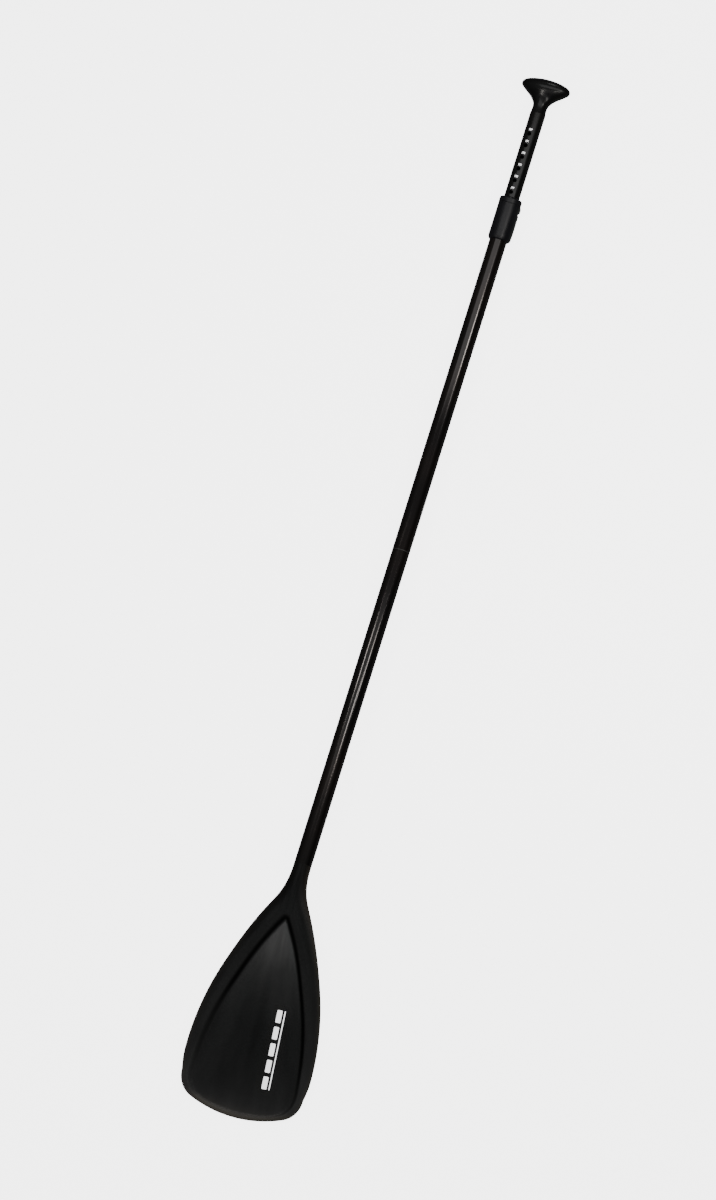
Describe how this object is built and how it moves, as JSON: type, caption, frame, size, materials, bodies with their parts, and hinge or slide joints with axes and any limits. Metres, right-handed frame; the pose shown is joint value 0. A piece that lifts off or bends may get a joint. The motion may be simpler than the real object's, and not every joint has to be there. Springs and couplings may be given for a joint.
{
  "type": "adjustable paddle",
  "caption": "Black adjustable single blade paddle with a palm grip, a pierced sliding handle tube, a lever clamp, a take-apart shaft and a canted nylon blade.",
  "frame": {"origin": "on the shaft axis, at the seam where the blade section and the middle section meet", "axes": "+X along the shaft towards the grip, +Y across the blade, +Z out of the blade's face"},
  "size_m": [1.7475, 0.2164, 0.0758],
  "materials": {
    "blade_nylon": "moulded, satin",
    "anodised_tube": "black anodised, glossy",
    "handle_tube_black": "black anodised, satin",
    "ferrule_nylon": "moulded",
    "black_rubber": "matte",
    "steel": "stainless, satin",
    "collar_plastic": "moulded, fine texture",
    "lever_plastic": "moulded, fine texture",
    "bush_acetal": "smooth",
    "grip_plastic": "moulded, polished",
    "foam": "closed-cell foam"
  },
  "bodies": {
    "middle_section": {"middle_shaft": "anodised_tube", "middle_float_bung": "foam", "joint_ferrule": "ferrule_nylon", "seal_ring": "black_rubber", "ferrule_rivets": "steel", "snap_spring": "steel", "clamp_collar": "collar_plastic", "collar_screws": "steel", "guide_bush": "bush_acetal", "lever_pivot_nut": "steel", "lever_pivot_screw": "steel"},
    "blade_section": {"blade": "blade_nylon", "lower_shaft": "anodised_tube", "lower_float_bung": "foam"},
    "snap_button": {"snap_button": "steel"},
    "clamp_lever": {"clamp_lever": "lever_plastic", "locking_pin": "steel", "lever_pad": "black_rubber"},
    "handle_section": {"handle_tube": "handle_tube_black", "handle_end_plug": "ferrule_nylon", "grip": "grip_plastic", "grip_pin": "steel"}
  },
  "joints": [
    {"name": "handle_slide", "type": "slide", "parent": "middle_section", "child": "handle_section", "axis": [1, 0, 0], "range_m": [-0.14, 0.22]},
    {"name": "lever_swing", "type": "hinge", "parent": "middle_section", "child": "clamp_lever", "pos_m": [0.59, 0, -0.0225], "axis": [0, -1, 0], "range_deg": [0, 100]},
    {"name": "button_press", "type": "slide", "parent": "middle_section", "child": "snap_button", "axis": [0, 0, 1], "range_m": [0, 0.003], "stiffness_N_per_m": 2500, "springref_m": -0.001, "deforming": ["snap_spring"]},
    {"name": "blade_section_pull", "type": "slide", "parent": "middle_section", "child": "blade_section", "axis": [-1, 0, 0], "range_m": [0, 0.18]}
  ]
}
